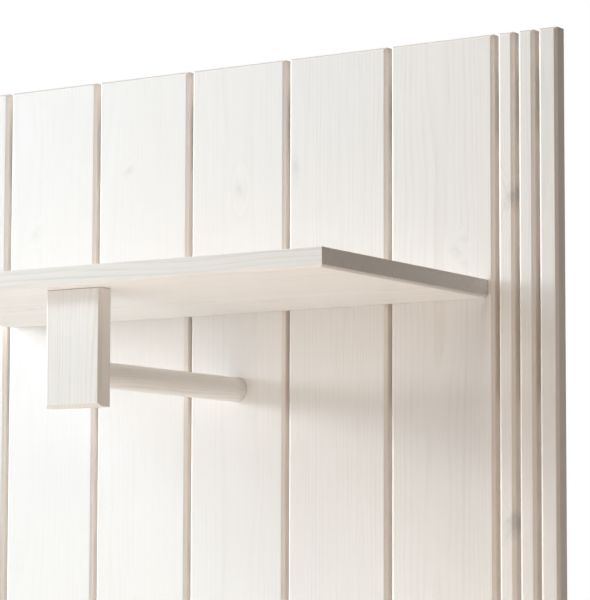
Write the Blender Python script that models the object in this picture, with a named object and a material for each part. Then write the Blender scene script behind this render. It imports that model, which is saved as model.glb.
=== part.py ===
"""Slatted wall rack: boards on rear battens, a hat shelf, and a coat-hanger peg.

The peg is a round rod that stands straight out of the middle board. Its front
end sits in an upright end plate, which carries the shelf's front.

Frame: metres, +Z up. The wall is the plane Y = 0 and the rack stands out of it
towards -Y. X = 0 is the rack's centre line. The origin lies on the rear face
of the middle batten.
"""
import math

import bmesh
import bpy
from mathutils import Vector

# --- driving dimensions -------------------------------------------------------

JOINT_GAP = 0.0003           # clearance between touching pieces
OVERCUT = 0.001              # how far a cutter stands out of the face it cuts

PANEL_HEIGHT = 1.000
PANEL_TOP = 0.275            # height of the panel's top edge over the origin
BOARD_COUNT = 5
BOARD_PITCH = 0.120          # wide board and one gap
BOARD_GAP = 0.005
BOARD_THICKNESS = 0.016
SLAT_WIDTH = 0.017           # the two inner narrow slats on each side
OUTER_SLAT_WIDTH = 0.020
LONG_CHAMFER = 0.0028        # front long edges of boards and slats
END_CHAMFER = 0.0020         # front edges of their top and bottom ends

BATTEN_THICKNESS = 0.018
BATTEN_INSET = 0.0095        # from the panel's side to the batten's end
BATTEN_CHAMFER = 0.0015
NARROW_BATTEN_HEIGHT = 0.060
NARROW_BATTEN_MARGIN = 0.040     # from the panel's end to the batten
MIDDLE_BATTEN_TOP = 0.050
MIDDLE_BATTEN_HEIGHT = 0.130

SHELF_THICKNESS = 0.018
SHELF_DEPTH = 0.2975         # from the boards' front to the shelf's front
SHELF_DROP = 0.2567          # from the panel's top to the shelf's underside
SHELF_END_INSET = 0.0065     # from the last wide board's side to the shelf's end
SHELF_CHAMFER = 0.0023

ROD_RADIUS = 0.0125
ROD_DROP = 0.3343            # from the panel's top to the rod's axis
ROD_SEGMENTS = 40

PLATE_WIDTH = 0.065
PLATE_HEIGHT = 0.1108
PLATE_THICKNESS = 0.016
PLATE_REACH = 0.273          # from the boards' front to the plate's front
PLATE_SIDE_CHAMFER = 0.0028
PLATE_BOTTOM_CHAMFER = 0.0034
PLATE_BORE_DEPTH = 0.008

PIN_RADIUS = 0.004           # dowel pins between end plate and shelf
PIN_IN_PLATE = 0.015
PIN_IN_SHELF = 0.012
PIN_SPREAD = 0.018           # each pin's distance from the centre line
PIN_SEGMENTS = 16

SCREW_SEGMENTS = 10
HEAD_RECESS = 0.0005         # every screw head lies this far below its surface
SCREW_SIZES = {              # length, shank radius, head radius, head height
    "board": (0.0295, 0.0020, 0.0040, 0.0024),
    "slat": (0.0295, 0.00175, 0.0035, 0.0021),
    "long": (0.0695, 0.00225, 0.0045, 0.0028),
    "hanger": (0.0155, 0.00175, 0.0033, 0.0016),
}
HEAD_RIM = 0.0003            # the head's straight rim
SCREW_TIP = 0.004            # length of the pointed end
SCREW_TIP_RADIUS = 0.0004
BOARD_SCREW_ROW = -0.030     # the middle batten's row of board screws

HANGER_X = 0.180             # each hanger plate's distance from the centre line
HANGER_WIDTH = 0.022
HANGER_HEIGHT = 0.050
HANGER_THICKNESS = 0.002
HANGER_CORNER_SEGMENTS = 8
HANGER_SCREW_OFFSET = 0.0185
KEYHOLE_ENTRY_RADIUS = 0.005
KEYHOLE_ENTRY_SEGMENTS = 20
KEYHOLE_SLOT_RADIUS = 0.0026
KEYHOLE_ENTRY_DROP = 0.006   # entry hole below the hanger plate's middle
KEYHOLE_SLOT_RISE = 0.006    # slot end above the hanger plate's middle
POCKET_WIDTH = 0.013
POCKET_HEIGHT = 0.024
POCKET_DEPTH = 0.012

# --- dimensions that follow ---------------------------------------------------

PANEL_BOTTOM = PANEL_TOP - PANEL_HEIGHT
BOARD_WIDTH = BOARD_PITCH - BOARD_GAP
BOARD_BACK_Y = -BATTEN_THICKNESS - JOINT_GAP
BOARD_FRONT_Y = BOARD_BACK_Y - BOARD_THICKNESS
BOARD_CENTRES = [(i - (BOARD_COUNT - 1) / 2) * BOARD_PITCH for i in range(BOARD_COUNT)]
WIDE_HALF = BOARD_CENTRES[-1] + BOARD_WIDTH / 2
PANEL_HALF = WIDE_HALF + 3 * BOARD_GAP + 2 * SLAT_WIDTH + OUTER_SLAT_WIDTH
BATTEN_HALF = PANEL_HALF - BATTEN_INSET
TOP_BATTEN_Z = PANEL_TOP - NARROW_BATTEN_MARGIN - NARROW_BATTEN_HEIGHT / 2
BOTTOM_BATTEN_Z = PANEL_BOTTOM + NARROW_BATTEN_MARGIN + NARROW_BATTEN_HEIGHT / 2
SHELF_UNDERSIDE = PANEL_TOP - SHELF_DROP
SHELF_MIDDLE = SHELF_UNDERSIDE + SHELF_THICKNESS / 2
ROD_Z = PANEL_TOP - ROD_DROP
PLATE_FRONT_Y = BOARD_FRONT_Y - PLATE_REACH
PLATE_BACK_Y = PLATE_FRONT_Y + PLATE_THICKNESS
PLATE_MIDDLE_Y = PLATE_FRONT_Y + PLATE_THICKNESS / 2
PLATE_TOP = SHELF_UNDERSIDE - JOINT_GAP
PLATE_BOTTOM = PLATE_TOP - PLATE_HEIGHT

# name, centre and width of the narrow slats on the right side, from the inside out
SLATS = [
    ("inner", WIDE_HALF + BOARD_GAP + SLAT_WIDTH / 2, SLAT_WIDTH),
    ("middle", WIDE_HALF + 2 * BOARD_GAP + 1.5 * SLAT_WIDTH, SLAT_WIDTH),
    ("outer", PANEL_HALF - OUTER_SLAT_WIDTH / 2, OUTER_SLAT_WIDTH),
]
OUTER_SLAT_SCREW_SHIFT = 0.005   # towards the centre line, clear of the batten's end

BISECT_TOLERANCE = 1e-7
SHARP_ANGLE = math.radians(35)


# --- materials ----------------------------------------------------------------

def make_material(name, colour, roughness, metallic=0.0):
    """One Principled BSDF with a plain colour."""
    material = bpy.data.materials.new(name)
    material.use_nodes = True
    shader = material.node_tree.nodes["Principled BSDF"]
    shader.inputs["Base Color"].default_value = (*colour, 1.0)
    shader.inputs["Roughness"].default_value = roughness
    shader.inputs["Metallic"].default_value = metallic
    return material


# --- mesh helpers -------------------------------------------------------------

def add_object(name, bm, material=None, location=(0, 0, 0)):
    """Turn a bmesh into a named object with its faces pointing out."""
    bmesh.ops.recalc_face_normals(bm, faces=bm.faces)
    mesh = bpy.data.meshes.new(name)
    bm.to_mesh(mesh)
    bm.free()
    return add_mesh_object(name, mesh, material, location)


def add_mesh_object(name, mesh, material=None, location=(0, 0, 0)):
    """Place a mesh, which copies of one piece share, as a named object."""
    if material is not None and not mesh.materials:
        mesh.materials.append(material)
    obj = bpy.data.objects.new(name, mesh)
    obj.location = location
    bpy.context.scene.collection.objects.link(obj)
    return obj


def block(low, high):
    """A rectangular block between two corners."""
    bm = bmesh.new()
    bmesh.ops.create_cube(bm, size=1.0)
    low, high = Vector(low), Vector(high)
    for vert in bm.verts:
        vert.co = Vector(low[i] + (vert.co[i] + 0.5) * (high[i] - low[i]) for i in range(3))
    return bm


def plane_off(bm, point, normal):
    """Plane away what lies outside a plane and close the cut."""
    geometry = bm.verts[:] + bm.edges[:] + bm.faces[:]
    cut = bmesh.ops.bisect_plane(
        bm, geom=geometry, dist=BISECT_TOLERANCE, plane_co=point, plane_no=normal, clear_outer=True)
    edges = [item for item in cut["geom_cut"] if isinstance(item, bmesh.types.BMEdge)]
    bmesh.ops.contextual_create(bm, geom=edges)


def chamfer(bm, corner, side_a, side_b, width):
    """Chamfer the edge through a corner where two outward sides meet."""
    side_a, side_b = Vector(side_a), Vector(side_b)
    plane_off(bm, Vector(corner) - side_a * width, side_a + side_b)


def turned(profile, segments):
    """A closed round body on the Y axis from (y, radius) points, end to end."""
    bm = bmesh.new()
    rings = []
    for y, radius in profile:
        ring = []
        for step in range(segments):
            angle = 2 * math.pi * step / segments
            ring.append(bm.verts.new((radius * math.cos(angle), y, radius * math.sin(angle))))
        rings.append(ring)
    for ring, following in zip(rings, rings[1:]):
        for step in range(segments):
            after = (step + 1) % segments
            bm.faces.new((ring[step], ring[after], following[after], following[step]))
    bm.faces.new(rings[0])
    bm.faces.new(rings[-1])
    return bm


def shade_round(obj):
    """Shade a turned piece smooth, with its arrises kept sharp."""
    obj.data.shade_smooth()
    obj.data.set_sharp_from_angle(angle=SHARP_ANGLE)


# --- cutters ------------------------------------------------------------------

def as_cutter(obj):
    """Keep an object only as a Boolean cutter."""
    obj.hide_render = True
    obj.display_type = "WIRE"
    return obj


def cut(obj, cutter):
    """Take a cutter's shape out of an object."""
    modifier = obj.modifiers.new(cutter.name, "BOOLEAN")
    modifier.operation = "DIFFERENCE"
    modifier.solver = "EXACT"
    modifier.object = cutter


def round_cutter(name, x, z, y_start, y_end, radius, segments):
    """A round cutter along Y."""
    return as_cutter(add_object(name, turned([(y_start, radius), (y_end, radius)], segments),
                                location=(x, 0, z)))


# --- screws -------------------------------------------------------------------

def screw_profile(kind):
    """Countersunk screw: head face at y = 0, point towards -Y."""
    length, shank, head, head_height = SCREW_SIZES[kind]
    return [
        (0.0, head),
        (-HEAD_RIM, head),
        (-head_height, shank),
        (-length + SCREW_TIP, shank),
        (-length, SCREW_TIP_RADIUS),
    ]


def clearance_profile(kind):
    """The hole for a screw, wider all round and open behind its head."""
    length, shank, head, head_height = SCREW_SIZES[kind]
    room = JOINT_GAP
    return [
        (HEAD_RECESS + OVERCUT, head + room),
        (-HEAD_RIM - room, head + room),
        (-head_height - room, shank + room),
        (-length - room, shank + room),
    ]


def screw_positions():
    """Name, kind and head position of every screw."""
    screws = []
    rows = (("top", TOP_BATTEN_Z), ("middle", BOARD_SCREW_ROW), ("bottom", BOTTOM_BATTEN_Z))
    for row, z in rows:
        for number, x in enumerate(BOARD_CENTRES, start=1):
            screws.append((f"board_screw_{row}_{number}", "board", (x, -HEAD_RECESS, z)))
    for row, z in (rows[0], rows[2]):
        for side, sign in (("left", -1), ("right", 1)):
            for place, x, _ in SLATS:
                shift = OUTER_SLAT_SCREW_SHIFT if place == "outer" else 0.0
                name = f"slat_screw_{row}_{side}_{place}"
                screws.append((name, "slat", (sign * (x - shift), -HEAD_RECESS, z)))
    for number, x in enumerate(BOARD_CENTRES, start=1):
        screws.append((f"shelf_screw_{number}", "long", (x, -HEAD_RECESS, SHELF_MIDDLE)))
    screws.append(("rod_screw", "long", (0.0, -HEAD_RECESS, ROD_Z)))
    for side, sign in (("left", -1), ("right", 1)):
        for place, offset in (("upper", HANGER_SCREW_OFFSET), ("lower", -HANGER_SCREW_OFFSET)):
            name = f"hanger_screw_{side}_{place}"
            position = (sign * HANGER_X, -HEAD_RECESS, TOP_BATTEN_Z + offset)
            screws.append((name, "hanger", position))
    return screws


def build_screws(material):
    """Every screw as its own object, and one clearance cutter for all of them."""
    meshes = {}
    clearance = bmesh.new()
    for name, kind, position in screw_positions():
        if kind not in meshes:
            first = add_object(name, turned(screw_profile(kind), SCREW_SEGMENTS), material, position)
            shade_round(first)
            meshes[kind] = first.data
        else:
            add_mesh_object(name, meshes[kind], location=position)
        hole = turned(clearance_profile(kind), SCREW_SEGMENTS)
        bmesh.ops.translate(hole, verts=hole.verts, vec=position)
        loose = bpy.data.meshes.new("hole")
        hole.to_mesh(loose)
        hole.free()
        clearance.from_mesh(loose)
        bpy.data.meshes.remove(loose)
    return as_cutter(add_object("screw_clearance", clearance))


# --- wooden pieces ------------------------------------------------------------

def build_board(name, centre_x, width, material):
    """A vertical board or slat with its four front edges chamfered."""
    left, right = centre_x - width / 2, centre_x + width / 2
    low = (left, BOARD_FRONT_Y, PANEL_BOTTOM)
    high = (right, BOARD_BACK_Y, PANEL_TOP)
    bm = block(low, high)
    front = (0, -1, 0)
    chamfer(bm, low, (-1, 0, 0), front, LONG_CHAMFER)
    chamfer(bm, (right, BOARD_FRONT_Y, PANEL_BOTTOM), (1, 0, 0), front, LONG_CHAMFER)
    chamfer(bm, low, (0, 0, -1), front, END_CHAMFER)
    chamfer(bm, (left, BOARD_FRONT_Y, PANEL_TOP), (0, 0, 1), front, END_CHAMFER)
    return add_object(name, bm, material)


def build_batten(name, centre_z, height, material):
    """A horizontal rear batten with its rear edges chamfered."""
    low = (-BATTEN_HALF, -BATTEN_THICKNESS, centre_z - height / 2)
    high = (BATTEN_HALF, 0.0, centre_z + height / 2)
    bm = block(low, high)
    rear = (0, 1, 0)
    chamfer(bm, high, (0, 0, 1), rear, BATTEN_CHAMFER)
    chamfer(bm, high, (1, 0, 0), rear, BATTEN_CHAMFER)
    chamfer(bm, (high[0], 0.0, low[2]), (0, 0, -1), rear, BATTEN_CHAMFER)
    chamfer(bm, (low[0], 0.0, high[2]), (-1, 0, 0), rear, BATTEN_CHAMFER)
    return add_object(name, bm, material)


def build_shelf(material):
    """The hat shelf, chamfered along its lower front and end edges."""
    half = WIDE_HALF - SHELF_END_INSET
    front_y = BOARD_FRONT_Y - SHELF_DEPTH
    low = (-half, front_y, SHELF_UNDERSIDE)
    high = (half, BOARD_FRONT_Y - JOINT_GAP, SHELF_UNDERSIDE + SHELF_THICKNESS)
    bm = block(low, high)
    under = (0, 0, -1)
    chamfer(bm, low, (0, -1, 0), under, SHELF_CHAMFER)
    chamfer(bm, low, (-1, 0, 0), under, SHELF_CHAMFER)
    chamfer(bm, (half, front_y, SHELF_UNDERSIDE), (1, 0, 0), under, SHELF_CHAMFER)
    return add_object("hat_shelf", bm, material)


def build_end_plate(material):
    """The upright end plate, chamfered in front along its sides and bottom."""
    half = PLATE_WIDTH / 2
    low = (-half, PLATE_FRONT_Y, PLATE_BOTTOM)
    high = (half, PLATE_BACK_Y, PLATE_TOP)
    bm = block(low, high)
    front = (0, -1, 0)
    chamfer(bm, low, (-1, 0, 0), front, PLATE_SIDE_CHAMFER)
    chamfer(bm, (half, PLATE_FRONT_Y, PLATE_BOTTOM), (1, 0, 0), front, PLATE_SIDE_CHAMFER)
    chamfer(bm, low, (0, 0, -1), front, PLATE_BOTTOM_CHAMFER)
    return add_object("end_plate", bm, material)


def build_rod(material):
    """The hanging rod, from the middle batten through the board into the plate."""
    start = BOARD_BACK_Y
    end = PLATE_BACK_Y - PLATE_BORE_DEPTH + JOINT_GAP
    rod = add_object("hanging_rod", turned([(start, ROD_RADIUS), (end, ROD_RADIUS)], ROD_SEGMENTS),
                     material, (0, 0, ROD_Z))
    shade_round(rod)
    return rod


def upright_pin(name, x, radius, low, high, material=None):
    """A round pin or hole that stands on end in the end plate's middle plane."""
    half = (high - low) / 2
    piece = add_object(name, turned([(-half, radius), (half, radius)], PIN_SEGMENTS), material,
                       (x, PLATE_MIDDLE_Y, (low + high) / 2))
    piece.rotation_euler.x = math.pi / 2
    return piece


def build_pins(material):
    """The two dowel pins between the plate and the shelf; returns their holes."""
    low = PLATE_TOP - PIN_IN_PLATE
    high = SHELF_UNDERSIDE + PIN_IN_SHELF
    holes = []
    for side, x in (("left", -PIN_SPREAD), ("right", PIN_SPREAD)):
        shade_round(upright_pin(f"plate_pin_{side}", x, PIN_RADIUS, low, high, material))
        hole = upright_pin(f"plate_pin_hole_{side}", x, PIN_RADIUS + JOINT_GAP,
                           low - JOINT_GAP, high + JOINT_GAP)
        holes.append(as_cutter(hole))
    return holes


# --- hanger plates ------------------------------------------------------------

def obround(width, height, y_back, y_front):
    """An upright plate with round ends, between two Y planes."""
    bm = bmesh.new()
    radius = width / 2
    rise = height / 2 - radius
    outline = []
    steps = HANGER_CORNER_SEGMENTS
    for end, start in ((1, 0.0), (-1, math.pi)):
        for step in range(steps + 1):
            angle = start + math.pi * step / steps
            x, z = radius * math.cos(angle), radius * math.sin(angle) + end * rise
            outline.append(bm.verts.new((x, y_back, z)))
    face = bm.faces.new(outline)
    extruded = bmesh.ops.extrude_face_region(bm, geom=[face])
    moved = [item for item in extruded["geom"] if isinstance(item, bmesh.types.BMVert)]
    bmesh.ops.translate(bm, verts=moved, vec=(0, y_front - y_back, 0))
    return bm


def build_hanger(side, x, top_batten, screw_clearance, material):
    """A keyhole hanger plate let into the top batten, with room behind its slot."""
    rear = -HEAD_RECESS / 2
    room = JOINT_GAP
    place = (x, 0, TOP_BATTEN_Z)
    plate = add_object(f"hanger_plate_{side}",
                       obround(HANGER_WIDTH, HANGER_HEIGHT, rear, rear - HANGER_THICKNESS),
                       material, place)
    recess = obround(HANGER_WIDTH + 2 * room, HANGER_HEIGHT + 2 * room,
                     OVERCUT, rear - HANGER_THICKNESS - room)
    cut(top_batten, as_cutter(add_object(f"hanger_recess_{side}", recess, location=place)))
    pocket = block((-POCKET_WIDTH / 2, -POCKET_DEPTH, -POCKET_HEIGHT / 2),
                   (POCKET_WIDTH / 2, OVERCUT, POCKET_HEIGHT / 2))
    cut(top_batten, as_cutter(add_object(f"hanger_pocket_{side}", pocket, location=place)))

    through = (OVERCUT, rear - HANGER_THICKNESS - OVERCUT)
    entry = round_cutter(f"keyhole_entry_{side}", x, TOP_BATTEN_Z - KEYHOLE_ENTRY_DROP,
                         *through, KEYHOLE_ENTRY_RADIUS, KEYHOLE_ENTRY_SEGMENTS)
    cut(plate, entry)
    slot_height = KEYHOLE_SLOT_RISE + KEYHOLE_ENTRY_DROP
    slot = obround(2 * KEYHOLE_SLOT_RADIUS, slot_height + KEYHOLE_SLOT_RADIUS, *through)
    slot_z = TOP_BATTEN_Z + (KEYHOLE_SLOT_RISE - KEYHOLE_ENTRY_DROP + KEYHOLE_SLOT_RADIUS) / 2
    cut(plate, as_cutter(add_object(f"keyhole_slot_{side}", slot, location=(x, 0, slot_z))))
    cut(plate, screw_clearance)


# --- assembly -----------------------------------------------------------------

def clear_scene():
    for obj in list(bpy.data.objects):
        bpy.data.objects.remove(obj, do_unlink=True)


def build():
    clear_scene()
    glazed_wood = make_material("glazed_pine", (0.86, 0.84, 0.80), 0.55)
    pin_wood = make_material("beech", (0.66, 0.50, 0.34), 0.60)
    steel = make_material("zinc_plated_steel", (0.62, 0.63, 0.65), 0.35, metallic=1.0)

    screw_clearance = build_screws(steel)

    boards = [build_board(f"wide_board_{number}", x, BOARD_WIDTH, glazed_wood)
              for number, x in enumerate(BOARD_CENTRES, start=1)]
    slats = [build_board(f"slat_{side}_{place}", sign * x, width, glazed_wood)
             for side, sign in (("left", -1), ("right", 1))
             for place, x, width in SLATS]
    top_batten = build_batten("top_batten", TOP_BATTEN_Z, NARROW_BATTEN_HEIGHT, glazed_wood)
    middle_batten = build_batten("middle_batten", MIDDLE_BATTEN_TOP - MIDDLE_BATTEN_HEIGHT / 2,
                                 MIDDLE_BATTEN_HEIGHT, glazed_wood)
    bottom_batten = build_batten("bottom_batten", BOTTOM_BATTEN_Z, NARROW_BATTEN_HEIGHT, glazed_wood)
    shelf = build_shelf(glazed_wood)
    rod = build_rod(glazed_wood)
    end_plate = build_end_plate(glazed_wood)
    pin_holes = build_pins(pin_wood)

    for side, x in (("left", -HANGER_X), ("right", HANGER_X)):
        build_hanger(side, x, top_batten, screw_clearance, steel)

    bore = ROD_RADIUS + JOINT_GAP
    board_bore = round_cutter("rod_bore_in_board", 0, ROD_Z, BOARD_BACK_Y + OVERCUT,
                              BOARD_FRONT_Y - OVERCUT, bore, ROD_SEGMENTS)
    plate_bore = round_cutter("rod_bore_in_plate", 0, ROD_Z, PLATE_BACK_Y + OVERCUT,
                              PLATE_BACK_Y - PLATE_BORE_DEPTH, bore, ROD_SEGMENTS)
    cut(boards[BOARD_COUNT // 2], board_bore)
    cut(end_plate, plate_bore)
    for hole in pin_holes:
        cut(end_plate, hole)
        cut(shelf, hole)
    for piece in (*boards, *slats, top_batten, middle_batten, bottom_batten, shelf, rod):
        cut(piece, screw_clearance)


build()
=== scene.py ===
"""A slatted hall rack in white-glazed pine: boards on rear battens, a hat shelf and a peg for coat hangers.

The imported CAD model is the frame. Boards, battens, shelf and end plate are their CAD nodes' shapes with
eased arrises; rod, screws and hanger plates are rebuilt in finer detail; the dowel pins stay as they
are. Every wooden piece has growth rings and fibres of its own, which run through it.
Metres, +Z up, wall plane Y = 0, the rack stands out towards -Y.
"""
import math
import random

import bmesh
import bpy
from mathutils import Matrix, Vector


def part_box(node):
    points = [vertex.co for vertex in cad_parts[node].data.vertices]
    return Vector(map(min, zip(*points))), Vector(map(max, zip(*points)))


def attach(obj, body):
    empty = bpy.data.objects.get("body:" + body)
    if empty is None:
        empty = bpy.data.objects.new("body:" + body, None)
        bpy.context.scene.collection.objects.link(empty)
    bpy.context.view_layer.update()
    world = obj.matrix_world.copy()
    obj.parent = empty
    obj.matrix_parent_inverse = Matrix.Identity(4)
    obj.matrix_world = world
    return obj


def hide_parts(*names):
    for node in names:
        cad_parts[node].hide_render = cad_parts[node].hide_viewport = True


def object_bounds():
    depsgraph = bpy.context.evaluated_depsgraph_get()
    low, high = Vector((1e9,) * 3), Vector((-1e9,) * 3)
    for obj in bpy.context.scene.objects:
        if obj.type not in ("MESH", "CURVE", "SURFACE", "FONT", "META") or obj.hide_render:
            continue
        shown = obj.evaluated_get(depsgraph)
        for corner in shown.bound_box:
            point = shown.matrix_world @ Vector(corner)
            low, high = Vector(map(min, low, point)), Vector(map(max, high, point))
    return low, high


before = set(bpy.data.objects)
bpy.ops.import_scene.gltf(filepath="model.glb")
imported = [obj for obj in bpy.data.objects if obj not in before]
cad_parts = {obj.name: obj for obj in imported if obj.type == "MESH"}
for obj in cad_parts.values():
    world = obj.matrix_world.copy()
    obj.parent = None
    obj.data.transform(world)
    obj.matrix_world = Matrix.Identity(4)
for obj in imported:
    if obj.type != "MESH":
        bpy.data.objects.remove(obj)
CAD_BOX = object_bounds()

ROOT = "root"
MM = 0.001

# --- camera -------------------------------------------------------------------

CAMERA_PLACE = (1.5232, -2.2795, -0.2563)
CAMERA_YAW = 0.5742          # radians from the wall's normal, towards the rack's left
CAMERA_PITCH = 0.0882
CAMERA_ROLL = 0.0027
CAMERA_LENS = 160.45
CAMERA_SENSOR = 36.0
CAMERA_SHIFT_Y = 0.08

# --- light --------------------------------------------------------------------

# name, azimuth from straight in front (positive to the right), elevation, distance, width, height,
# power in watts, colour; every light aims at the same point
LIGHT_AIM = (0.0, -0.1, -0.1)
LIGHTS = [
    ("key_outer", -63, 10, 5.5, 1.4, 1.6, 168.0, (0.91, 0.96, 1.0)),
    ("key_high", -50, 28, 5.5, 1.5, 1.6, 90.0, (0.69, 0.83, 0.97)),
    ("front_high", -5, 35, 3.0, 1.4, 0.8, 11.5, (1.0, 0.93, 0.70)),
    ("overhead", 50, 80, 2.6, 0.8, 0.8, 41.0, (1.0, 0.85, 0.79)),
    ("side_left", -85, 5, 2.6, 0.7, 0.9, 30.0, (0.76, 0.88, 1.0)),
    ("back_right", 125, 5, 2.6, 0.9, 1.2, 5.2, (1.0, 0.95, 0.87)),
    ("back_left", -140, 12, 3.0, 0.8, 1.0, 34.0, (1.0, 0.97, 0.93)),
]
# low lamps that face up and stand for light thrown back from the floor: name, place, power, colour
GLOWS = [
    ("glow_mid", (0.0, -0.75, -0.70), 1.7, (1.0, 0.90, 0.79)),
    ("glow_right", (0.6, -0.70, -0.70), 1.2, (1.0, 0.50, 0.20)),
]
GLOW_WIDTH = 0.6
GLOW_DEPTH = 0.5
BACKDROP_STRENGTH = 1.0

FLOOR_HALF = 12.0
FLOOR_DROP = 0.0002                  # below the rack's lower end
FLOOR_COLOUR = (0.80, 0.79, 0.77)
FLOOR_FILL = 0.50                    # glow that keeps the floor pale beyond the lamps' reach
FLOOR_SHADE = 0.40                   # how much darker the floor is seen than it throws light back


# --- node helpers -------------------------------------------------------------

class Tree:
    """A material's nodes, built from left to right."""

    def __init__(self, name):
        self.material = bpy.data.materials.new(name)
        self.material.use_nodes = True
        self.nodes = self.material.node_tree.nodes
        self.links = self.material.node_tree.links
        self.shader = self.nodes["Principled BSDF"]

    def put(self, socket, value):
        if isinstance(value, bpy.types.NodeSocket):
            self.links.new(value, socket)
        else:
            socket.default_value = value

    def math(self, operation, *values):
        node = self.nodes.new("ShaderNodeMath")
        node.operation = operation
        for socket, value in zip(node.inputs, values):
            self.put(socket, value)
        return node.outputs[0]

    def vector(self, operation, *values, scale=None):
        node = self.nodes.new("ShaderNodeVectorMath")
        node.operation = operation
        for socket, value in zip(node.inputs, values):
            self.put(socket, value)
        if scale is not None:
            self.put(node.inputs["Scale"], scale)
        return node.outputs["Value" if operation == "LENGTH" else "Vector"]

    def combine(self, x, y, z):
        node = self.nodes.new("ShaderNodeCombineXYZ")
        for socket, value in zip(node.inputs, (x, y, z)):
            self.put(socket, value)
        return node.outputs[0]

    def split(self, vector):
        node = self.nodes.new("ShaderNodeSeparateXYZ")
        self.put(node.inputs[0], vector)
        return node.outputs

    def noise(self, vector, scale=1.0, detail=2.0, roughness=0.5, colour=False):
        node = self.nodes.new("ShaderNodeTexNoise")
        self.put(node.inputs["Vector"], vector)
        node.inputs["Scale"].default_value = scale
        node.inputs["Detail"].default_value = detail
        node.inputs["Roughness"].default_value = roughness
        return node.outputs["Color" if colour else "Fac"]

    def span(self, value, low, high, to_low=0.0, to_high=1.0):
        node = self.nodes.new("ShaderNodeMapRange")
        node.interpolation_type = "SMOOTHSTEP"
        for socket, number in zip(node.inputs, (value, low, high, to_low, to_high)):
            self.put(socket, number)
        return node.outputs[0]

    def ramp(self, value, stops):
        node = self.nodes.new("ShaderNodeValToRGB")
        elements = node.color_ramp.elements
        while len(elements) < len(stops):
            elements.new(0.5)
        for element, (place, colour) in zip(elements, stops):
            element.position = place
            element.color = (*colour, 1.0) if isinstance(colour, tuple) else (colour,) * 3 + (1.0,)
        self.put(node.inputs[0], value)
        return node.outputs[0]

    def mix(self, factor, first, second, blend="MIX"):
        node = self.nodes.new("ShaderNodeMix")
        node.data_type = "RGBA"
        node.blend_type = blend
        for socket, value in zip((node.inputs[0], node.inputs[6], node.inputs[7]),
                                 (factor, first, second)):
            self.put(socket, (*value, 1.0) if isinstance(value, tuple) else value)
        return node.outputs[2]

    def bump(self, height, strength, distance):
        node = self.nodes.new("ShaderNodeBump")
        node.inputs["Strength"].default_value = strength
        node.inputs["Distance"].default_value = distance
        self.put(node.inputs["Height"], height)
        self.put(self.shader.inputs["Normal"], node.outputs[0])


# --- glazed pine --------------------------------------------------------------

GLAZE = (0.905, 0.888, 0.864)       # pine under its white glaze
LATE_WOOD = (0.80, 0.76, 0.70)      # the growth rings' dark side through the glaze
PALE_STREAK = (0.935, 0.923, 0.905)
KNOT = (0.66, 0.67, 0.67)
KNOT_RIM = (0.74, 0.72, 0.69)
RUBBED_EDGE = (0.89, 0.84, 0.78)    # glaze worn thin along the arrises
PAINTED_FLANK_LIGHT = (0.985, 0.935, 0.88)        # painted light: side faces coloured lighter and warmer than the glaze, to brighten the shaded gaps
END_GRAIN = (0.90, 0.89, 0.88)      # cut ends drink more of the glaze
BOARD_END_GRAIN_AND_SHADE = (0.70, 0.70, 0.71)      # the boards' upright end grain drinks most of the glaze, and is darkened further as painted shade on their top ends and end chamfers
CLOUDED = (0.985, 0.975, 0.955)     # tint of the glaze's warmer clouds

# lengths in the wood's pattern are millimetres

# streaks: changes in a millimetre across and along the grain, which random shift they start from,
# and the noise's detail
BEND = (0.010, 0.0030, 0, 2.0)
FIBRE = (1.6, 0.022, 0, 3.0)
BAND = (0.16, 0.004, 1, 2.0)
CLOUD = (0.020, 0.008, 2, 2.0)
PATCH = (0.05, 0.03, 2, 3.0)

SHIFT_RANGE = 500.0                 # how far into the noise a piece's own patterns may start
PITH_ACROSS = 90                    # the most that the pith lies to a side of a piece's middle
PITH_DEPTH = (40, 90)               # how far it lies in front of it or behind it
GRAIN_WANDER = 12.0                 # how far the grain bends in all
RING_DRIFT = 4.0                    # rings by which the spacing runs ahead or behind
RING_DRIFT_SCALE = 0.06             # its changes in a millimetre of radius
# darkness through one year's ring: pale early wood, dark late wood, and a sharp end
RING = [(0.0, 0.10), (0.45, 0.12), (0.80, 0.75), (0.90, 1.0), (0.985, 0.15), (1.0, 0.10)]

RUB_WIDTH = 1.3                     # distance from an arris where the rubbing ends
RUB_FULL = 0.2                      # and where it is at its strongest
RUB_STRENGTH = 0.6
PAINTED_FLANK_TURN = (0.50, 0.75)           # share of the normal from which a face turns into a flank with painted light
END_TURN = (0.45, 0.65)             # and into an end, the end chamfers included; on the boards this carries painted shade
GLAZE_ROUGHNESS = (0.58, 0.44)      # between fibres and on them
GLAZE_SPECULAR = 0.35
FIBRE_RELIEF = 0.8
RING_RELIEF = -0.5
RELIEF_STRENGTH = 0.35
RELIEF_DEPTH = 0.12 * MM

KNOT_SLANT = 0.9                    # the steepest lean of a knot
KNOT_FLOW = (0.40, 0.20)            # the grain bends round it as far as 1 / this half sizes
KNOT_RAGGED = 1.5                   # how far its outline wanders, in half sizes
KNOT_RAGGED_SCALE = 0.16            # its changes in a millimetre
KNOT_RIM_REACH = (0.30, 1.9)        # where the rim and the core fade out, in half sizes
KNOT_CORE_REACH = (0.10, 0.95)


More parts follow.
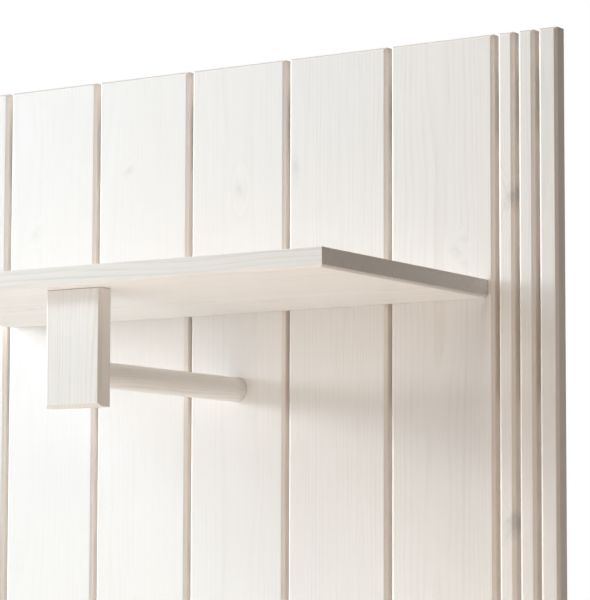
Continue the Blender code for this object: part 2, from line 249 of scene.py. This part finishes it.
def knot_fields(tree, draw, place, across, along, knots, swell):
    """The grain's swelling round each knot, and how far the knots' rims and cores reach."""
    ragged = tree.split(tree.noise(
        tree.vector("SCALE", place, scale=KNOT_RAGGED_SCALE / MM), detail=2.0, colour=True))
    rims, cores = None, None
    for knot_across, knot_along, half_width, half_length, strength in knots:
        from_across = tree.math("SUBTRACT", across, knot_across)
        from_along = tree.math("SUBTRACT", along, knot_along)
        flow = tree.vector("LENGTH", tree.combine(
            tree.math("MULTIPLY", from_across, KNOT_FLOW[0] / half_width),
            tree.math("MULTIPLY", from_along, KNOT_FLOW[1] / half_length), 0.0))
        swell = tree.math("ADD", swell, tree.span(flow, 0.0, 1.0, half_width, 0.0))
        slant = draw.uniform(-KNOT_SLANT, KNOT_SLANT)
        rough_across = tree.math("MULTIPLY_ADD", ragged[0], KNOT_RAGGED * half_width, from_across)
        rough_along = tree.math("MULTIPLY_ADD", ragged[1], KNOT_RAGGED * half_length, from_along)
        rough_along = tree.math("MULTIPLY_ADD", rough_across, slant, rough_along)
        centre = -KNOT_RAGGED / 2
        reach = tree.vector("LENGTH", tree.combine(
            tree.math("MULTIPLY_ADD", rough_across, 1.0 / half_width, centre),
            tree.math("MULTIPLY_ADD", rough_along, 1.0 / half_length, centre * (1.0 + slant)), 0.0))
        rim = tree.span(reach, *KNOT_RIM_REACH, strength, 0.0)
        core = tree.span(reach, *KNOT_CORE_REACH, strength, 0.0)
        rims = rim if rims is None else tree.math("MAXIMUM", rims, rim)
        cores = core if cores is None else tree.math("MAXIMUM", cores, core)
    return swell, rims, cores


def pine(name, axes, box, seed, knots=(), pith=None, spacing=2.7, lines=1.0, painted_flank_strength=0.0,
         cut_end_and_shade=END_GRAIN, tone=1.0):
    """Glazed pine. Its axes are named in the order across, depth and along the grain.

    A knot is (across, along, half width, half length, strength). Knots, pith and ring spacing are in
    millimetres, and the box in metres.
    """
    draw = random.Random(seed)
    tree = Tree(name)
    place = tree.nodes.new("ShaderNodeTexCoord").outputs["Object"]
    parts = dict(zip("xyz", tree.split(tree.vector("SCALE", place, scale=1.0 / MM))))
    across, depth, along = (parts[axis] for axis in axes)
    limits = [(box[0]["xyz".index(axis)] / MM, box[1]["xyz".index(axis)] / MM) for axis in axes]
    middle = [(low + high) / 2 for low, high in limits]
    shift = [draw.uniform(-SHIFT_RANGE, SHIFT_RANGE) for _ in range(3)]
    if pith is None:
        pith = (draw.uniform(-PITH_ACROSS, PITH_ACROSS),
                draw.uniform(*PITH_DEPTH) * draw.choice((-1, 1)))

    def streaks(wide, long, turn, detail):
        return tree.noise(tree.combine(
            tree.math("MULTIPLY_ADD", across, wide, shift[turn]),
            tree.math("MULTIPLY_ADD", depth, wide, shift[(turn + 1) % 3]),
            tree.math("MULTIPLY_ADD", along, long, shift[(turn + 2) % 3])), detail=detail,
            roughness=0.6)

    # slow bends of the grain along the piece
    swell = tree.math("MULTIPLY_ADD", streaks(*BEND), GRAIN_WANDER, -GRAIN_WANDER / 2)
    swell, rims, cores = knot_fields(tree, draw, place, across, along, knots, swell)

    radius = tree.vector("LENGTH", tree.combine(
        tree.math("SUBTRACT", across, middle[0] + pith[0]),
        tree.math("SUBTRACT", depth, middle[1] + pith[1]), 0.0))
    radius = tree.math("ADD", radius, swell)
    uneven = tree.noise(tree.combine(
        tree.math("MULTIPLY_ADD", radius, RING_DRIFT_SCALE, shift[1]), shift[0], 0.0), detail=1.0)
    phase = tree.math("MULTIPLY_ADD", uneven, RING_DRIFT,
                      tree.math("MULTIPLY", radius, 1.0 / spacing))
    ring = tree.ramp(tree.math("FRACT", phase), RING)

    fibre = streaks(*FIBRE)
    thin = tree.span(streaks(*BAND), 0.30, 0.72, 0.14 * lines, 0.50 * lines)
    colour = tree.mix(tree.math("MULTIPLY", ring, thin), GLAZE, LATE_WOOD)
    colour = tree.mix(tree.span(fibre, 0.42, 0.72, 0.0, 0.55), colour, PALE_STREAK)
    colour = tree.mix(tree.span(fibre, 0.20, 0.44, 0.22 * lines, 0.0), colour, LATE_WOOD)
    colour = tree.mix(tree.span(streaks(*CLOUD), 0.25, 0.75, 0.0, 0.25), colour,
                      tree.mix(1.0, colour, CLOUDED, "MULTIPLY"))

    # the glaze is rubbed thin in places along the arrises
    near = []
    for value, (low, high) in zip((across, depth), limits):
        off = tree.math("ABSOLUTE", tree.math("SUBTRACT", value, (low + high) / 2))
        near.append(tree.span(off, (high - low) / 2 - RUB_WIDTH, (high - low) / 2 - RUB_FULL))
    patches = tree.span(streaks(*PATCH), 0.42, 0.62)
    rub = tree.math("MULTIPLY", tree.math("MULTIPLY", *near), patches)
    colour = tree.mix(tree.math("MULTIPLY", rub, RUB_STRENGTH), colour, RUBBED_EDGE)

    # painted light makes the flanks lighter and warmer, the knots show through the glaze, and the ends are
    # darker, on the boards partly as painted shade
    normal = dict(zip("xyz", tree.split(tree.nodes.new("ShaderNodeNewGeometry").outputs["Normal"])))
    # painted light: side faces get a lighter, warmer colour where the gaps' flanks lie in shade
    painted_flank = tree.span(tree.math("ABSOLUTE", normal[axes[0]]), *PAINTED_FLANK_TURN)
    colour = tree.mix(tree.math("MULTIPLY", painted_flank, painted_flank_strength), colour, PAINTED_FLANK_LIGHT)
    if knots:
        colour = tree.mix(rims, colour, KNOT_RIM)
        colour = tree.mix(cores, colour, KNOT)
    ends = tree.span(tree.math("ABSOLUTE", normal[axes[2]]), *END_TURN)
    # darker ends: the end grain's own tone, and on the boards painted shade as well
    colour = tree.mix(ends, colour, tree.mix(1.0, colour, cut_end_and_shade, "MULTIPLY"))
    colour = tree.mix(1.0, colour, (tone,) * 3, "MULTIPLY")

    tree.put(tree.shader.inputs["Base Color"], colour)
    tree.put(tree.shader.inputs["Roughness"], tree.span(fibre, 0.2, 0.8, *GLAZE_ROUGHNESS))
    tree.shader.inputs["Specular IOR Level"].default_value = GLAZE_SPECULAR
    height = tree.math("MULTIPLY_ADD", fibre, FIBRE_RELIEF, tree.math("MULTIPLY", ring, RING_RELIEF))
    tree.bump(height, RELIEF_STRENGTH, RELIEF_DEPTH)
    return tree.material


# --- metal, dowel and floor ---------------------------------------------------

def zinc():
    """Zinc plating: pale blue-grey steel with a faint mottle and fine rub marks."""
    tree = Tree("zinc_plate")
    place = tree.nodes.new("ShaderNodeTexCoord").outputs["Object"]
    mottle = tree.noise(place, scale=260.0, detail=3.0)
    rub = tree.noise(tree.vector("MULTIPLY", place, (2600.0, 2600.0, 240.0)), detail=2.0)
    tree.put(tree.shader.inputs["Base Color"],
             tree.ramp(mottle, [(0.3, (0.56, 0.57, 0.59)), (0.7, (0.72, 0.73, 0.74))]))
    tree.shader.inputs["Metallic"].default_value = 1.0
    tree.put(tree.shader.inputs["Roughness"], tree.span(rub, 0.3, 0.7, 0.34, 0.43))
    tree.bump(rub, 0.15, 0.00003)
    return tree.material


def beech():
    """Bare beech of the dowel pins, with short dark flecks."""
    tree = Tree("bare_beech")
    place = tree.nodes.new("ShaderNodeTexCoord").outputs["Object"]
    fleck = tree.noise(tree.vector("MULTIPLY", place, (2400.0, 2400.0, 300.0)), detail=2.0)
    tree.put(tree.shader.inputs["Base Color"],
             tree.ramp(fleck, [(0.32, (0.50, 0.35, 0.22)), (0.6, (0.72, 0.56, 0.39))]))
    tree.put(tree.shader.inputs["Roughness"], tree.span(fleck, 0.3, 0.7, 0.7, 0.55))
    tree.bump(fleck, 0.3, 0.0001)
    return tree.material


def floor_finish():
    """A plain pale floor, matt, with the faintest mottle."""
    tree = Tree("pale_floor")
    place = tree.nodes.new("ShaderNodeTexCoord").outputs["Object"]
    mottle = tree.noise(place, scale=3.0, detail=4.0)
    low = tuple(0.985 * value for value in FLOOR_COLOUR)
    colour = tree.ramp(mottle, [(0.3, low), (0.7, FLOOR_COLOUR)])
    seen = tree.nodes.new("ShaderNodeLightPath").outputs["Is Camera Ray"]
    shaded = tree.mix(tree.math("MULTIPLY", seen, FLOOR_SHADE), colour, (0.0, 0.0, 0.0))
    tree.put(tree.shader.inputs["Base Color"], shaded)
    tree.shader.inputs["Roughness"].default_value = 0.9
    tree.shader.inputs["Specular IOR Level"].default_value = 0.1
    tree.shader.inputs["Emission Color"].default_value = (*FLOOR_COLOUR, 1.0)
    tree.put(tree.shader.inputs["Emission Strength"], tree.math("MULTIPLY", seen, FLOOR_FILL))
    return tree.material


# --- mesh helpers -------------------------------------------------------------

SHARP = math.radians(50)         # steeper edges stay sharp in the shading
FLAT = math.radians(0.5)         # CAD triangles that meet flatter than this are one face
CORNER = math.radians(20)        # steeper outer edges are arrises
WELD = 1e-5
REACH_SLACK = 1e-4
ARRIS_SEGMENTS = 3


def mesh_of(name, bm):
    """Turn a bmesh into a mesh with its faces pointing out."""
    bmesh.ops.recalc_face_normals(bm, faces=bm.faces)
    mesh = bpy.data.meshes.new(name)
    bm.to_mesh(mesh)
    bm.free()
    return mesh


def add_piece(name, bm, material, nodes):
    """Turn a bmesh into a piece that stands for CAD nodes and rides on the root body."""
    add_mesh_piece(name, mesh_of(name, bm), material, nodes)


def add_mesh_piece(name, mesh, material, nodes, place=(0, 0, 0)):
    """Place a mesh, which copies of one piece share, as such a piece."""
    if "custom_normal" in mesh.attributes:
        mesh.attributes.remove(mesh.attributes["custom_normal"])
    mesh.materials.clear()
    mesh.materials.append(material)
    mesh.shade_smooth()
    mesh.set_sharp_from_angle(angle=SHARP)
    obj = bpy.data.objects.new(name, mesh)
    obj.location = place
    bpy.context.scene.collection.objects.link(obj)
    weigh = obj.modifiers.new("weighted_normals", "WEIGHTED_NORMAL")
    weigh.keep_sharp = True
    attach(obj, ROOT)
    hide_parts(*nodes)


def eased(node, arris, chamfer):
    """The CAD node's shape as a new bmesh, with its outer arrises rounded over."""
    low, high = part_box(node)
    bm = bmesh.new()
    bm.from_mesh(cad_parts[node].data)
    bmesh.ops.remove_doubles(bm, verts=bm.verts, dist=WELD)
    bmesh.ops.dissolve_limit(bm, angle_limit=FLAT, verts=bm.verts, edges=bm.edges)
    reach = chamfer + REACH_SLACK

    def outer(vert):
        near = [min(vert.co[i] - low[i], high[i] - vert.co[i]) < reach for i in range(3)]
        return sum(near) >= 2

    edges = [edge for edge in bm.edges if edge.is_manifold
             and edge.calc_face_angle() > CORNER
             and all(outer(vert) for vert in edge.verts)]
    bmesh.ops.bevel(bm, geom=edges, offset=arris, segments=ARRIS_SEGMENTS, profile=0.5,
                    affect="EDGES", clamp_overlap=True)
    return bm


def lofted(rings):
    """A closed body from rings of points, all of one length, capped at both ends."""
    bm = bmesh.new()
    rings = [[bm.verts.new(point) for point in ring] for ring in rings]
    for ring, following in zip(rings, rings[1:]):
        for step in range(len(ring)):
            after = (step + 1) % len(ring)
            bm.faces.new((ring[step], ring[after], following[after], following[step]))
    bm.faces.new(rings[0])
    bm.faces.new(rings[-1])
    return bm


def turned(profile, segments, swirl=None):
    """A closed round body on the Y axis from (y, radius) points, which a swirl may reshape."""
    rings = []
    for y, radius in profile:
        ring = []
        for step in range(segments):
            angle = 2 * math.pi * step / segments
            here = swirl(y, radius, angle) if swirl else radius
            ring.append((here * math.cos(angle), y, here * math.sin(angle)))
        rings.append(ring)
    return lofted(rings)


def loose(name, bm):
    """A working object that is removed again."""
    obj = bpy.data.objects.new(name, mesh_of(name, bm))
    bpy.context.scene.collection.objects.link(obj)
    return obj


def carved(name, body, cutters, ease=0.0):
    """The mesh of a body with cutters taken out of it and its rims eased."""
    blank = loose(name, body)
    tools = [loose(f"{name}_cutter_{number}", cutter) for number, cutter in enumerate(cutters)]
    for tool in tools:
        carve = blank.modifiers.new(tool.name, "BOOLEAN")
        carve.operation = "DIFFERENCE"
        carve.solver = "EXACT"
        carve.object = tool
    if ease:
        bevel = blank.modifiers.new("ease", "BEVEL")
        bevel.width = ease
        bevel.segments = 2
        bevel.limit_method = "ANGLE"
        bevel.angle_limit = SHARP
    bpy.context.view_layer.update()
    mesh = bpy.data.meshes.new_from_object(
        blank.evaluated_get(bpy.context.evaluated_depsgraph_get()))
    mesh.name = name
    for obj in (blank, *tools):
        bpy.data.objects.remove(obj)
    return mesh


# --- boards, battens, shelf and end plate -------------------------------------

NODES = sorted(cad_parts)
ARRIS = 0.0005
BOARD_CHAMFER = 0.0028
BOARD_SEED = 11
WOOD_SEED = 51

# axes, chamfer in metres, place of the pith from the middle and ring spacing in millimetres,
# strength of the lines
WOOD = {
    "hat_shelf": ("yzx", 0.0023, (40.0, 75.0), 2.6, 2.8),
    "end_plate": ("xyz", 0.0034, (46.0, 40.0), 2.7, 2.2),
    "top_batten": ("zyx", 0.0015, None, 2.2, 1.0),
    "middle_batten": ("zyx", 0.0015, None, 2.6, 1.0),
    "bottom_batten": ("zyx", 0.0015, None, 2.1, 1.0),
}
# the pieces' knots, as pine() reads them
KNOTS = {
    "wide_board_1": [(-262, 118, 6, 5, 0.16), (-226, -430, 8, 7, 0.45)],
    "wide_board_2": [(-138, 177, 5, 4.5, 0.26), (-96, -388, 9, 7, 0.45)],
    "wide_board_3": [(3, 145, 6.5, 9, 0.22), (22, -515, 7, 6, 0.42)],
    "wide_board_4": [(71, 159, 5, 13, 0.28), (136, -352, 6, 5, 0.40), (104, -640, 9, 7, 0.45)],
    "wide_board_5": [(257, 66, 6.5, 5.5, 0.24), (226, -470, 8, 7, 0.45)],
    "slat_right_inner": [(319, 116, 10, 10, 0.58), (319, -198, 10, 10, 0.60)],
    "slat_left_middle": [(-334, -300, 4, 5, 0.42)],
    "slat_left_outer": [(-352, 60, 5, 6, 0.36)],
    "hat_shelf": [(-180, -150, 8, 9, 0.35), (-120, 95, 6, 7, 0.35)],
    "middle_batten": [(-60, -215, 8, 10, 0.42), (10, 120, 6, 7, 0.36)],
    "bottom_batten": [(-650, 90, 6, 8, 0.40)],
}
# strength of the lines on the boards that differ from the rest
BOARD_LINES = 1.5
LINES = {"wide_board_1": 0.6, "wide_board_2": 0.6, "wide_board_3": 0.8, "wide_board_5": 1.3}
# pieces whose wood is darker under the glaze
TONES = {"slat_right_outer": 0.92, "slat_right_middle": 0.96, "slat_left_inner": 0.97}


def make_boards():
    """The upright boards and slats."""
    boards = [name for name in NODES if name.startswith(("wide_board", "slat_left", "slat_right"))]
    # the boards' side faces carry painted light
    for number, name in enumerate(boards):
        # the boards' top ends get painted shade as well as the end grain's darkening
        finish = pine(f"pine_{name}", "xyz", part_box(name), BOARD_SEED + number,
                      knots=KNOTS.get(name, ()), lines=LINES.get(name, BOARD_LINES), painted_flank_strength=1.0,
                      cut_end_and_shade=BOARD_END_GRAIN_AND_SHADE, tone=TONES.get(name, 1.0))
        add_piece(f"{name}_glazed", eased(name, ARRIS, BOARD_CHAMFER), finish, [name])


def make_shelf_plate_and_battens():
    """The other wood that is square-edged."""
    for number, (name, (axes, chamfer, pith, spacing, lines)) in enumerate(WOOD.items()):
        finish = pine(f"pine_{name}", axes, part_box(name), WOOD_SEED + number,
                      knots=KNOTS.get(name, ()), pith=pith, spacing=spacing, lines=lines)
        add_piece(f"{name}_glazed", eased(name, ARRIS, chamfer), finish, [name])


# --- rod and dowel pins -------------------------------------------------------

ROD_SEED = 77
ROD_PITH = (30.0, -95.0)
ROD_SPACING = 2.4
ROD_LINES = 2.6
ROD_SEGMENTS = 96
ROD_EASE = 0.0006
ROD_BORE_RADIUS = 0.00255
BORE_END_GAP = 0.0003


def make_rod():
    """The round rod, bored from its rear end for its screw."""
    low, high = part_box("hanging_rod")
    radius = (high.x - low.x) / 2
    bore_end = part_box("rod_screw")[0].y - BORE_END_GAP
    rod = turned([(bore_end, ROD_BORE_RADIUS), (high.y, ROD_BORE_RADIUS),
                  (high.y, radius - ROD_EASE), (high.y - ROD_EASE, radius),
                  (low.y + ROD_EASE, radius), (low.y, radius - ROD_EASE)], ROD_SEGMENTS)
    bmesh.ops.translate(rod, verts=rod.verts, vec=(0, 0, (low.z + high.z) / 2))
    finish = pine("pine_hanging_rod", "xzy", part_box("hanging_rod"), ROD_SEED,
                  pith=ROD_PITH, spacing=ROD_SPACING, lines=ROD_LINES)
    add_piece("hanging_rod_glazed", rod, finish, ["hanging_rod"])


def finish_pins(finish):
    """The dowel pins keep their CAD shape."""
    for name in ("plate_pin_left", "plate_pin_right"):
        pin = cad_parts[name].data
        pin.materials.clear()
        pin.materials.append(finish)


# --- screws -------------------------------------------------------------------

SCREW_SEGMENTS = 24
RINGS_A_TURN = 4
POINT_RINGS = 10
THREAD_PITCH = 0.0019
THREAD_ROOT = 0.68               # share of the shank's radius between the crests
CREST_WIDTH = 0.28               # half the crest's width, as a share of a turn
PLAIN_SHARE = 0.36               # share of the length without a thread
PLAIN_RADIUS = 0.86              # share of the thread's radius
POINT_SHANKS = 2.4               # length of the point in shank radii
POINT_RADIUS = 0.0003
HEAD_DEPTH = 0.62                # shares of the head's radius
HEAD_FACE = 0.94
HEAD_EASE = 0.00012
HEAD_RIM = 0.0004


def screw_body(length, head):
    """A countersunk wood screw: head face at y = 0, threaded down to its point."""
    shank = head / 2
    thread_start = -PLAIN_SHARE * length
    point_start = -length + POINT_SHANKS * shank
    profile = [(0.0, head * HEAD_FACE), (-HEAD_EASE, head), (-HEAD_RIM, head),
               (-HEAD_DEPTH * head, shank * PLAIN_RADIUS), (thread_start, shank * PLAIN_RADIUS)]
    rings = int((thread_start - point_start) / THREAD_PITCH * RINGS_A_TURN)
    for number in range(1, rings + 1):
        profile.append((thread_start - number * THREAD_PITCH / RINGS_A_TURN, shank))
    thread_end = profile[-1][0]
    for number in range(1, POINT_RINGS + 1):
        share = number / POINT_RINGS
        y = thread_end * (1 - share) - length * share
        profile.append((y, shank * (1 - share) + POINT_RADIUS * share))

    def thread(y, radius, angle):
        if y >= thread_start:
            return radius
        turn = (y / THREAD_PITCH + angle / (2 * math.pi)) % 1.0
        crest = max(0.0, 1.0 - abs(turn - 0.5) / CREST_WIDTH)
        return radius * (THREAD_ROOT + (1.0 - THREAD_ROOT) * crest)

    return turned(profile, SCREW_SEGMENTS, thread)


RECESS_TOP = (0.0004, 1.06)      # height above the head's face, and scale of the cross there
RECESS_FLOOR = (-0.42, 0.40)     # depth as a share of the head's radius, and scale of the cross there
RECESS_ARM = 0.58                # shares of the head's radius
RECESS_HALF = 0.12
RECESS_TAPER = 0.6               # how much of the scale the width of the arms follows


def cross_recess(head):
    """The cross recess of a screw head, a plus that narrows towards its floor."""
    rings = []
    for y, scale in (RECESS_TOP, (RECESS_FLOOR[0] * head, RECESS_FLOOR[1])):
        ring = []
        for quarter in range(4):
            out = Vector((math.cos(quarter * math.pi / 2), 0, math.sin(quarter * math.pi / 2)))
            side = Vector((-out.z, 0, out.x))
            arm = RECESS_ARM * head * scale
            half = RECESS_HALF * head * (1 - RECESS_TAPER + RECESS_TAPER * scale)
            for spot in (out * arm - side * half, out * arm + side * half, (out + side) * half):
                ring.append(spot + Vector((0, y, 0)))
        rings.append(ring)
    return lofted(rings)


def make_screws(finish):
    """All the wood screws; those of one length and head share a mesh."""
    meshes = {}
    for name in NODES:
        if "screw" not in name:
            continue
        low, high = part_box(name)
        kind = (round((high.y - low.y) / MM, 1), round((high.z - low.z) / 2 / MM, 1))
        if kind not in meshes:
            length, head = high.y - low.y, (high.x - low.x) / 2
            meshes[kind] = carved("screw", screw_body(length, head), [cross_recess(head)])
        place = ((low.x + high.x) / 2, high.y, (low.z + high.z) / 2)
        add_mesh_piece(f"{name}_zinc", meshes[kind], finish, [name], place)


# --- hanger plates ------------------------------------------------------------

ENTRY_RADIUS = 0.005
ENTRY_DROP = 0.006                      # below the plate's middle
SLOT_RADIUS = 0.0026
SLOT_RISE = 0.006                       # centre of the slot's round end above the plate's middle
SINK_BACK, SINK_FRONT = 1.14, 0.62      # shares of the screw head's radius
SINK_BACK_OVER, SINK_FRONT_OVER = 0.0002, 0.0004
OVERCUT = 0.001
PLATE_EASE = 0.00025
ROUND_STEPS = 24
ROUND = 1e-5                            # half the straight stretch that a round hole keeps


def obround(x, y_back, y_front, low_z, high_z, radius, back_radius=None):
    """An upright prism with round ends, between two Y planes, wider at its back if asked."""
    rings = []
    for y, size in ((y_back, back_radius or radius), (y_front, radius)):
        ring = []
        for z, start in ((high_z, 0.0), (low_z, math.pi)):
            for step in range(ROUND_STEPS + 1):
                angle = start + math.pi * step / ROUND_STEPS
                ring.append((x + size * math.cos(angle), y, z + size * math.sin(angle)))
        rings.append(ring)
    return lofted(rings)


def make_hanger_plate(side, finish):
    """A keyhole plate with round ends and two countersunk screw holes."""
    low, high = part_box(f"hanger_plate_{side}")
    x, radius = (low.x + high.x) / 2, (high.x - low.x) / 2
    entry_z = (low.z + high.z) / 2 - ENTRY_DROP
    slot_end_z = (low.z + high.z) / 2 + SLOT_RISE
    through = (high.y + OVERCUT, low.y - OVERCUT)
    cutters = [obround(x, *through, entry_z - ROUND, entry_z + ROUND, ENTRY_RADIUS),
               obround(x, *through, entry_z, slot_end_z, SLOT_RADIUS)]
    for place in ("upper", "lower"):
        screw_low, screw_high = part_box(f"hanger_screw_{side}_{place}")
        z, head = (screw_low.z + screw_high.z) / 2, (screw_high.z - screw_low.z) / 2
        cutters.append(obround(x, high.y + SINK_BACK_OVER, low.y - SINK_FRONT_OVER,
                               z - ROUND, z + ROUND, head * SINK_FRONT, head * SINK_BACK))
    blank = obround(x, high.y, low.y, low.z + radius, high.z - radius, radius)
    mesh = carved(f"hanger_plate_{side}", blank, cutters, PLATE_EASE)
    add_mesh_piece(f"hanger_plate_{side}_zinc", mesh, finish, [f"hanger_plate_{side}"])


# --- floor, light and camera --------------------------------------------------

def lay_floor():
    """A wide floor just under the rack's foot."""
    mesh = bpy.data.meshes.new("floor")
    z = CAD_BOX[0].z - FLOOR_DROP
    corners = [(x * FLOOR_HALF, y * FLOOR_HALF, z) for x, y in ((-1, -1), (1, -1), (1, 1), (-1, 1))]
    mesh.from_pydata(corners, [], [(0, 1, 2, 3)])
    mesh.materials.append(floor_finish())
    floor = bpy.data.objects.new("floor", mesh)
    bpy.context.scene.collection.objects.link(floor)


def softbox(name, place, towards, width, height, power, colour):
    """A rectangular lamp that looks in one direction and is itself never seen."""
    lamp = bpy.data.lights.new(name, "AREA")
    lamp.shape = "RECTANGLE"
    lamp.size = width
    lamp.size_y = height
    lamp.energy = power
    lamp.color = colour
    holder = bpy.data.objects.new(name, lamp)
    holder.location = place
    holder.rotation_euler = towards.to_track_quat("-Z", "Y").to_euler()
    holder.visible_camera = False
    bpy.context.scene.collection.objects.link(holder)


def hang_lamps():
    """The lamps round the rack, and the low ones in front of it."""
    for name, azimuth, elevation, distance, width, height, power, colour in LIGHTS:
        across, rise = math.radians(azimuth), math.radians(elevation)
        back = Vector((math.sin(across) * math.cos(rise), -math.cos(across) * math.cos(rise),
                       math.sin(rise)))
        softbox(name, Vector(LIGHT_AIM) + back * distance, -back, width, height, power, colour)
    for name, place, power, colour in GLOWS:
        softbox(name, place, Vector((0, 0, 1)), GLOW_WIDTH, GLOW_DEPTH, power, colour)


def set_backdrop():
    """A white backdrop that is only seen: it lights nothing."""
    world = bpy.data.worlds.new("studio")
    bpy.context.scene.world = world
    world.use_nodes = True
    tree = world.node_tree
    dark = tree.nodes["Background"]
    dark.inputs["Color"].default_value = (0.0, 0.0, 0.0, 1.0)
    white = tree.nodes.new("ShaderNodeBackground")
    white.inputs["Color"].default_value = (1.0, 1.0, 1.0, 1.0)
    white.inputs["Strength"].default_value = BACKDROP_STRENGTH
    path = tree.nodes.new("ShaderNodeLightPath")
    choose = tree.nodes.new("ShaderNodeMixShader")
    tree.links.new(path.outputs["Is Camera Ray"], choose.inputs[0])
    tree.links.new(dark.outputs[0], choose.inputs[1])
    tree.links.new(white.outputs[0], choose.inputs[2])
    tree.links.new(choose.outputs[0], tree.nodes["World Output"].inputs[0])
    bpy.context.scene.view_settings.view_transform = "Standard"


def set_camera():
    """The camera, from its place, yaw, pitch and roll."""
    ahead = Vector((-math.sin(CAMERA_YAW) * math.cos(CAMERA_PITCH),
                    math.cos(CAMERA_YAW) * math.cos(CAMERA_PITCH), math.sin(CAMERA_PITCH)))
    right = Vector((math.cos(CAMERA_YAW), math.sin(CAMERA_YAW), 0.0))
    up = right.cross(ahead)
    lens_right = right * math.cos(CAMERA_ROLL) + up * math.sin(CAMERA_ROLL)
    lens_up = up * math.cos(CAMERA_ROLL) - right * math.sin(CAMERA_ROLL)
    data = bpy.data.cameras.new("camera")
    data.lens = CAMERA_LENS
    data.sensor_width = CAMERA_SENSOR
    data.sensor_fit = "AUTO"
    data.shift_y = CAMERA_SHIFT_Y
    camera = bpy.data.objects.new("camera", data)
    turn = Matrix((lens_right, lens_up, -ahead)).transposed().to_4x4()
    camera.matrix_world = Matrix.Translation(CAMERA_PLACE) @ turn
    bpy.context.scene.collection.objects.link(camera)
    bpy.context.scene.camera = camera


# --- the rack and its studio --------------------------------------------------

make_boards()
make_shelf_plate_and_battens()
make_rod()
zinc_finish = zinc()
finish_pins(beech())
make_screws(zinc_finish)
for side in ("left", "right"):
    make_hanger_plate(side, zinc_finish)
lay_floor()
hang_lamps()
set_backdrop()
set_camera()
